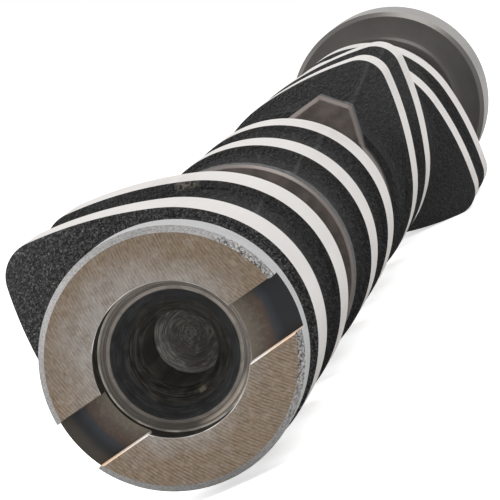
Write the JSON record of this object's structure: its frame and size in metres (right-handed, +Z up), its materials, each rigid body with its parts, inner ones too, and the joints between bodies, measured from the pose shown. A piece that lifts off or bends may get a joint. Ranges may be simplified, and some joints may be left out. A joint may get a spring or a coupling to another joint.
{
  "type": "camshaft",
  "caption": "Cast camshaft with pairs of lobes, bearing journals between them, a timing slot across one end and a bolted drive seat at the other.",
  "frame": {"origin": "on the shaft's axis, in the plane of the end face with the timing slot", "axes": "+Y runs along the shaft from the slotted end to the drive end, +Z is up with the shaft lying on its cams and drive journal, +X is to the right seen from the slotted end"},
  "size_m": [0.0366, 0.3855, 0.0366],
  "materials": {
    "chilled_iron": "dark rough cast skin with ground, turned and milled surfaces that are brown with old oil"
  },
  "bodies": {
    "root": {"camshaft": "chilled_iron"}
  },
  "joints": []
}
